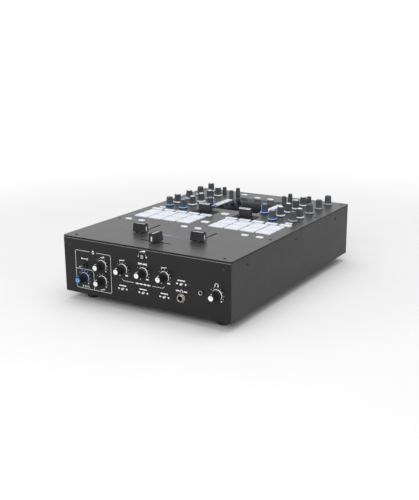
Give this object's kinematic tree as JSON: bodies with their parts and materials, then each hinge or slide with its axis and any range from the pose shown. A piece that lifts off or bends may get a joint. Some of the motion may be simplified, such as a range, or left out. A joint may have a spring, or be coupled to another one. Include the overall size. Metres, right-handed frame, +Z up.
{
  "type": "dj mixer",
  "caption": "Low sheet-metal mixer for scratch performance with a crossfader, channel faders, performance pads, tilting paddles, a touch screen, knob columns and front and rear sockets.",
  "frame": {"origin": "on the standing surface, under the middle of the whole outline", "axes": "+X to the player's right, +Y towards the rear sockets, +Z up"},
  "size_m": [0.267, 0.3938, 0.107],
  "materials": {
    "casing": "fine matt powder coat",
    "front": "satin black",
    "plate": "satin black that looks grey at a low angle",
    "feet": "matt black",
    "screen": "glossy black glass front",
    "board": "green board with dark parts",
    "steel": "bright metal",
    "supply": "plain sheet case",
    "nickel": "nickel ring on a black case",
    "sockets": "black with metal contacts",
    "bezel": "black",
    "cap": "black with white lines",
    "paddle": "black with a white line",
    "pads": "white silicone",
    "keys": "white",
    "switch": "black",
    "knob": "black ribbed grip with a coloured collar"
  },
  "bodies": {
    "chassis": {"base_pan": "casing", "front_panel": "front", "rear_panel": "casing", "top_plate": "plate", "feet": "feet", "touch_screen": "screen", "circuit_board": "board", "power_supply": "supply", "front_fittings": "nickel", "rear_sockets": "sockets", "paddle_bezels": "bezel"},
    "crossfader_cap": {"crossfader_cap": "cap"},
    "left_fader_cap": {"left_fader_cap": "cap"},
    "right_fader_cap": {"right_fader_cap": "cap"},
    "left_paddle": {"left_paddle": "paddle"},
    "right_paddle": {"right_paddle": "paddle"},
    "left_pads": {"left_pads": "pads"},
    "right_pads": {"right_pads": "pads"},
    "left_buttons": {"left_buttons": "keys"},
    "right_buttons": {"right_buttons": "keys"},
    "centre_buttons": {"centre_buttons": "keys"},
    "front_switches": {"front_switches": "switch"},
    "power_switch": {"power_switch": "switch"},
    "left_filter_knob": {"left_filter_knob": "knob"},
    "left_low_knob": {"left_low_knob": "knob"},
    "left_mid_knob": {"left_mid_knob": "knob"},
    "left_high_knob": {"left_high_knob": "knob"},
    "left_gain_knob": {"left_gain_knob": "knob"},
    "left_selector_knob": {"left_selector_knob": "knob"},
    "left_side_knob_1": {"left_side_knob_1": "knob"},
    "left_side_knob_2": {"left_side_knob_2": "knob"},
    "left_side_knob_3": {"left_side_knob_3": "knob"},
    "left_side_knob_4": {"left_side_knob_4": "knob"},
    "left_side_knob_5": {"left_side_knob_5": "knob"},
    "left_depth_knob": {"left_depth_knob": "knob"},
    "left_loop_knob": {"left_loop_knob": "knob"},
    "left_browse_knob": {"left_browse_knob": "knob"},
    "right_filter_knob": {"right_filter_knob": "knob"},
    "right_low_knob": {"right_low_knob": "knob"},
    "right_mid_knob": {"right_mid_knob": "knob"},
    "right_high_knob": {"right_high_knob": "knob"},
    "right_gain_knob": {"right_gain_knob": "knob"},
    "right_selector_knob": {"right_selector_knob": "knob"},
    "right_side_knob_1": {"right_side_knob_1": "knob"},
    "right_side_knob_2": {"right_side_knob_2": "knob"},
    "right_side_knob_3": {"right_side_knob_3": "knob"},
    "right_side_knob_4": {"right_side_knob_4": "knob"},
    "right_side_knob_5": {"right_side_knob_5": "knob"},
    "right_depth_knob": {"right_depth_knob": "knob"},
    "right_loop_knob": {"right_loop_knob": "knob"},
    "right_browse_knob": {"right_browse_knob": "knob"},
    "mic_level_knob": {"mic_level_knob": "knob"},
    "mic_tone_knob": {"mic_tone_knob": "knob"},
    "mic_echo_knob": {"mic_echo_knob": "knob"},
    "left_contour_knob": {"left_contour_knob": "knob"},
    "cross_contour_knob": {"cross_contour_knob": "knob"},
    "right_contour_knob": {"right_contour_knob": "knob"},
    "phones_knob": {"phones_knob": "knob"},
    "mic_toggle": {"mic_toggle": "steel"},
    "tension_knob": {"tension_knob": "steel"}
  },
  "joints": [
    {"name": "crossfader_slide", "type": "slide", "parent": "chassis", "child": "crossfader_cap", "axis": [1, 0, 0], "range_m": [-0.0225, 0.0225]},
    {"name": "left_fader_slide", "type": "slide", "parent": "chassis", "child": "left_fader_cap", "axis": [0, 1, 0], "range_m": [0, 0.045]},
    {"name": "right_fader_slide", "type": "slide", "parent": "chassis", "child": "right_fader_cap", "axis": [0, 1, 0], "range_m": [0, 0.045]},
    {"name": "left_paddle_tilt", "type": "hinge", "parent": "chassis", "child": "left_paddle", "pos_m": [-0.035, 0.0309, 0.0874], "axis": [1, 0, 0], "range_deg": [-18, 18], "stiffness_Nm_per_rad": 0.05},
    {"name": "right_paddle_tilt", "type": "hinge", "parent": "chassis", "child": "right_paddle", "pos_m": [0.035, 0.0309, 0.0874], "axis": [1, 0, 0], "range_deg": [-18, 18], "stiffness_Nm_per_rad": 0.05},
    {"name": "left_pads_press", "type": "slide", "parent": "chassis", "child": "left_pads", "axis": [0, 0, -1], "range_m": [0, 0.0012], "stiffness_N_per_m": 1500, "springref_m": -0.001},
    {"name": "right_pads_press", "type": "slide", "parent": "chassis", "child": "right_pads", "axis": [0, 0, -1], "range_m": [0, 0.0012], "stiffness_N_per_m": 1500, "springref_m": -0.001},
    {"name": "left_buttons_press", "type": "slide", "parent": "chassis", "child": "left_buttons", "axis": [0, 0, -1], "range_m": [0, 0.0012], "stiffness_N_per_m": 1500, "springref_m": -0.001},
    {"name": "right_buttons_press", "type": "slide", "parent": "chassis", "child": "right_buttons", "axis": [0, 0, -1], "range_m": [0, 0.0012], "stiffness_N_per_m": 1500, "springref_m": -0.001},
    {"name": "centre_buttons_press", "type": "slide", "parent": "chassis", "child": "centre_buttons", "axis": [0, 0, -1], "range_m": [0, 0.0012], "stiffness_N_per_m": 1500, "springref_m": -0.001},
    {"name": "front_switches_slide", "type": "slide", "parent": "chassis", "child": "front_switches", "axis": [1, 0, 0], "range_m": [-0.0015, 0.0015]},
    {"name": "power_switch_rock", "type": "hinge", "parent": "chassis", "child": "power_switch", "pos_m": [-0.10745, 0.1891, 0.0666], "axis": [0, 0, 1], "range_deg": [-8, 8]},
    {"name": "left_filter_turn", "type": "hinge", "parent": "chassis", "child": "left_filter_knob", "pos_m": [-0.0775, 0.0349, 0.092], "axis": [0, 0, 1], "range_deg": [-150, 150]},
    {"name": "left_low_turn", "type": "hinge", "parent": "chassis", "child": "left_low_knob", "pos_m": [-0.0775, 0.0613, 0.092], "axis": [0, 0, 1], "range_deg": [-150, 150]},
    {"name": "left_mid_turn", "type": "hinge", "parent": "chassis", "child": "left_mid_knob", "pos_m": [-0.0775, 0.0877, 0.092], "axis": [0, 0, 1], "range_deg": [-150, 150]},
    {"name": "left_high_turn", "type": "hinge", "parent": "chassis", "child": "left_high_knob", "pos_m": [-0.0775, 0.1141, 0.092], "axis": [0, 0, 1], "range_deg": [-150, 150]},
    {"name": "left_gain_turn", "type": "hinge", "parent": "chassis", "child": "left_gain_knob", "pos_m": [-0.0775, 0.1405, 0.092], "axis": [0, 0, 1], "range_deg": [-150, 150]},
    {"name": "left_selector_turn", "type": "hinge", "parent": "chassis", "child": "left_selector_knob", "pos_m": [-0.0775, 0.1619, 0.092], "axis": [0, 0, 1], "range_deg": [-45, 45]},
    {"name": "left_side_turn_1", "type": "hinge", "parent": "chassis", "child": "left_side_knob_1", "pos_m": [-0.1072, 0.0409, 0.092], "axis": [0, 0, 1], "range_deg": [-150, 150]},
    {"name": "left_side_turn_2", "type": "hinge", "parent": "chassis", "child": "left_side_knob_2", "pos_m": [-0.1072, 0.0639, 0.092], "axis": [0, 0, 1], "range_deg": [-150, 150]},
    {"name": "left_side_turn_3", "type": "hinge", "parent": "chassis", "child": "left_side_knob_3", "pos_m": [-0.1072, 0.0984, 0.092], "axis": [0, 0, 1], "range_deg": [-150, 150]},
    {"name": "left_side_turn_4", "type": "hinge", "parent": "chassis", "child": "left_side_knob_4", "pos_m": [-0.1072, 0.1329, 0.092], "axis": [0, 0, 1], "range_deg": [-150, 150]},
    {"name": "left_side_turn_5", "type": "hinge", "parent": "chassis", "child": "left_side_knob_5", "pos_m": [-0.1072, 0.1674, 0.092], "axis": [0, 0, 1], "range_deg": [-150, 150]},
    {"name": "left_depth_turn", "type": "hinge", "parent": "chassis", "child": "left_depth_knob", "pos_m": [-0.0478, 0.0669, 0.092], "axis": [0, 0, 1], "range_deg": [-150, 150]},
    {"name": "left_loop_turn", "type": "hinge", "parent": "chassis", "child": "left_loop_knob", "pos_m": [-0.0478, 0.1329, 0.092], "axis": [0, 0, 1], "continuous": true},
    {"name": "left_browse_turn", "type": "hinge", "parent": "chassis", "child": "left_browse_knob", "pos_m": [-0.0478, 0.1549, 0.092], "axis": [0, 0, 1], "continuous": true},
    {"name": "right_filter_turn", "type": "hinge", "parent": "chassis", "child": "right_filter_knob", "pos_m": [0.0775, 0.0349, 0.092], "axis": [0, 0, 1], "range_deg": [-150, 150]},
    {"name": "right_low_turn", "type": "hinge", "parent": "chassis", "child": "right_low_knob", "pos_m": [0.0775, 0.0613, 0.092], "axis": [0, 0, 1], "range_deg": [-150, 150]},
    {"name": "right_mid_turn", "type": "hinge", "parent": "chassis", "child": "right_mid_knob", "pos_m": [0.0775, 0.0877, 0.092], "axis": [0, 0, 1], "range_deg": [-150, 150]},
    {"name": "right_high_turn", "type": "hinge", "parent": "chassis", "child": "right_high_knob", "pos_m": [0.0775, 0.1141, 0.092], "axis": [0, 0, 1], "range_deg": [-150, 150]},
    {"name": "right_gain_turn", "type": "hinge", "parent": "chassis", "child": "right_gain_knob", "pos_m": [0.0775, 0.1405, 0.092], "axis": [0, 0, 1], "range_deg": [-150, 150]},
    {"name": "right_selector_turn", "type": "hinge", "parent": "chassis", "child": "right_selector_knob", "pos_m": [0.0775, 0.1619, 0.092], "axis": [0, 0, 1], "range_deg": [-45, 45]},
    {"name": "right_side_turn_1", "type": "hinge", "parent": "chassis", "child": "right_side_knob_1", "pos_m": [0.1072, 0.0409, 0.092], "axis": [0, 0, 1], "range_deg": [-150, 150]},
    {"name": "right_side_turn_2", "type": "hinge", "parent": "chassis", "child": "right_side_knob_2", "pos_m": [0.1072, 0.0639, 0.092], "axis": [0, 0, 1], "range_deg": [-150, 150]},
    {"name": "right_side_turn_3", "type": "hinge", "parent": "chassis", "child": "right_side_knob_3", "pos_m": [0.1072, 0.0984, 0.092], "axis": [0, 0, 1], "range_deg": [-150, 150]},
    {"name": "right_side_turn_4", "type": "hinge", "parent": "chassis", "child": "right_side_knob_4", "pos_m": [0.1072, 0.1329, 0.092], "axis": [0, 0, 1], "range_deg": [-150, 150]},
    {"name": "right_side_turn_5", "type": "hinge", "parent": "chassis", "child": "right_side_knob_5", "pos_m": [0.1072, 0.1674, 0.092], "axis": [0, 0, 1], "range_deg": [-150, 150]},
    {"name": "right_depth_turn", "type": "hinge", "parent": "chassis", "child": "right_depth_knob", "pos_m": [0.0478, 0.0669, 0.092], "axis": [0, 0, 1], "range_deg": [-150, 150]},
    {"name": "right_loop_turn", "type": "hinge", "parent": "chassis", "child": "right_loop_knob", "pos_m": [0.0478, 0.1329, 0.092], "axis": [0, 0, 1], "continuous": true},
    {"name": "right_browse_turn", "type": "hinge", "parent": "chassis", "child": "right_browse_knob", "pos_m": [0.0478, 0.1549, 0.092], "axis": [0, 0, 1], "continuous": true},
    {"name": "mic_level_turn", "type": "hinge", "parent": "chassis", "child": "mic_level_knob", "pos_m": [-0.0682, -0.1819, 0.057], "axis": [0, -1, 0], "range_deg": [-150, 150]},
    {"name": "mic_tone_turn", "type": "hinge", "parent": "chassis", "child": "mic_tone_knob", "pos_m": [-0.0682, -0.1819, 0.035], "axis": [0, -1, 0], "range_deg": [-150, 150]},
    {"name": "mic_echo_turn", "type": "hinge", "parent": "chassis", "child": "mic_echo_knob", "pos_m": [-0.0992, -0.1819, 0.035], "axis": [0, -1, 0], "range_deg": [-150, 150]},
    {"name": "left_contour_turn", "type": "hinge", "parent": "chassis", "child": "left_contour_knob", "pos_m": [-0.0335, -0.1819, 0.057], "axis": [0, -1, 0], "range_deg": [-150, 150]},
    {"name": "cross_contour_turn", "type": "hinge", "parent": "chassis", "child": "cross_contour_knob", "pos_m": [0, -0.1819, 0.057], "axis": [0, -1, 0], "range_deg": [-150, 150]},
    {"name": "right_contour_turn", "type": "hinge", "parent": "chassis", "child": "right_contour_knob", "pos_m": [0.0335, -0.1819, 0.057], "axis": [0, -1, 0], "range_deg": [-150, 150]},
    {"name": "phones_turn", "type": "hinge", "parent": "chassis", "child": "phones_knob", "pos_m": [0.112, -0.1819, 0.046], "axis": [0, -1, 0], "range_deg": [-150, 150]},
    {"name": "mic_toggle_tilt", "type": "hinge", "parent": "chassis", "child": "mic_toggle", "pos_m": [-0.0975, -0.1794, 0.0535], "axis": [1, 0, 0], "range_deg": [-12, 12]},
    {"name": "tension_turn", "type": "hinge", "parent": "chassis", "child": "tension_knob", "pos_m": [0, -0.1819, 0.0793], "axis": [0, -1, 0], "range_deg": [-120, 120]}
  ]
}
